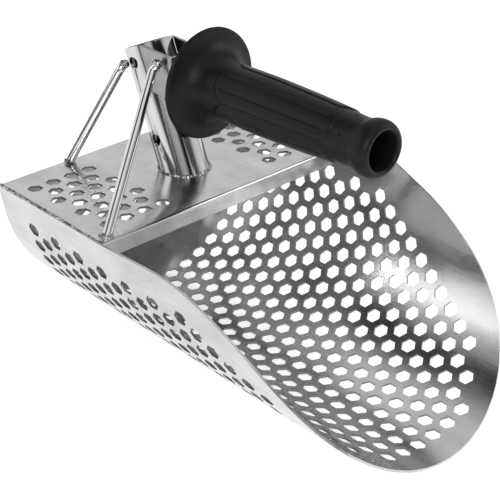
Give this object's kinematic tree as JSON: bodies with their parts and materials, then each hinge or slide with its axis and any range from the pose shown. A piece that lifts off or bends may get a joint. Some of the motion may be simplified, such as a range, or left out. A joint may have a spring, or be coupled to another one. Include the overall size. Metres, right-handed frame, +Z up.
{
  "type": "beach sand scoop",
  "caption": "Sieve scoop of rolled perforated sheet with a flat deck, a leaning pole socket, round brace rods and a flanged rubber hand grip.",
  "frame": {"origin": "middle of the bounding box, on the plane that the rounded bottom of the basket touches", "axes": "-Y forward out of the open mouth, +X across the scoop, +Z up with the basket's bottom line level"},
  "size_m": [0.2192, 0.298, 0.2048],
  "materials": {
    "brushed_sheet": "fine brushed stainless sheet",
    "polished_tube": "polished stainless tube",
    "polished_rod": "polished stainless rod",
    "weld_metal": "unpolished weld bead",
    "grip_rubber": "satin moulded rubber"
  },
  "bodies": {
    "root": {"basket_shell": "brushed_sheet", "basket_back": "brushed_sheet", "top_deck": "brushed_sheet", "socket_tube": "polished_tube", "handle_bracket": "brushed_sheet", "handle_tube": "polished_tube", "grip_sleeve": "grip_rubber", "brace_front_left": "polished_rod", "weld_foot_front_left": "weld_metal", "brace_front_right": "polished_rod", "weld_foot_front_right": "weld_metal", "brace_rear_left": "polished_rod", "weld_foot_rear_left": "weld_metal", "brace_rear_right": "polished_rod", "weld_foot_rear_right": "weld_metal", "weld_handle": "weld_metal", "weld_socket": "weld_metal", "weld_seam_left": "weld_metal", "weld_seam_right": "weld_metal", "weld_head_front_left": "weld_metal", "weld_head_front_right": "weld_metal", "weld_head_rear_left": "weld_metal", "weld_head_rear_right": "weld_metal"}
  },
  "joints": []
}
